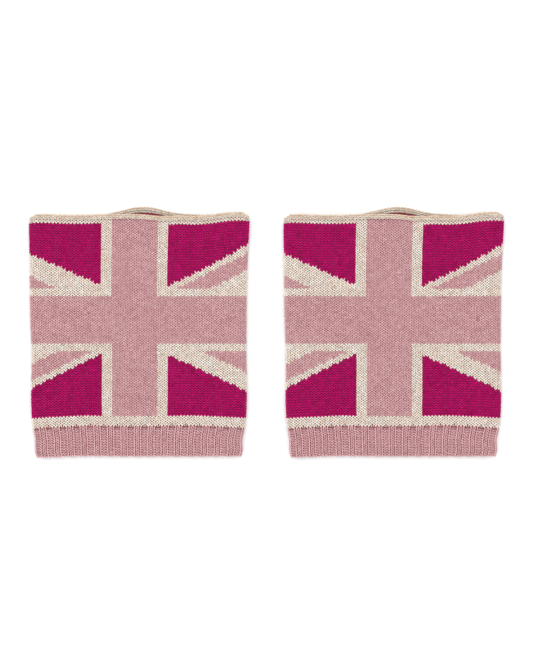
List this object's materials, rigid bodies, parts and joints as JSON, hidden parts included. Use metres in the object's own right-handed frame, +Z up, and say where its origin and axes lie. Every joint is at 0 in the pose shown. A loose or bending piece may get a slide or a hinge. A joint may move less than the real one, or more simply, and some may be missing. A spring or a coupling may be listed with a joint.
{
  "type": "pair of knitted sock cuffs",
  "caption": "Pair of knitted boot or sock cuffs laid flat side by side: short tubes with a ribbed hem, a flag pattern and a rolled top edge.",
  "frame": {"origin": "middle of the pair's footprint, on the surface that the cuffs lie on", "axes": "+X across the pair to the right-hand cuff, +Y from the ribbed hems to the rolled edges, +Z up off the surface"},
  "size_m": [0.3561, 0.1871, 0.0081],
  "materials": {
    "body_knit": "matt stocking stitch in magenta, pink and cream yarn",
    "rib_knit": "matt pink 2x2 rib",
    "edge_knit": "matt cream rolled edge"
  },
  "bodies": {
    "root": {"cuff_left_front_body": "body_knit", "cuff_left_back_body": "body_knit", "cuff_left_front_rib": "rib_knit", "cuff_left_back_rib": "rib_knit", "cuff_left_front_roll": "edge_knit", "cuff_left_back_roll": "edge_knit", "cuff_right_front_body": "body_knit", "cuff_right_back_body": "body_knit", "cuff_right_front_rib": "rib_knit", "cuff_right_back_rib": "rib_knit", "cuff_right_front_roll": "edge_knit", "cuff_right_back_roll": "edge_knit"}
  },
  "joints": []
}
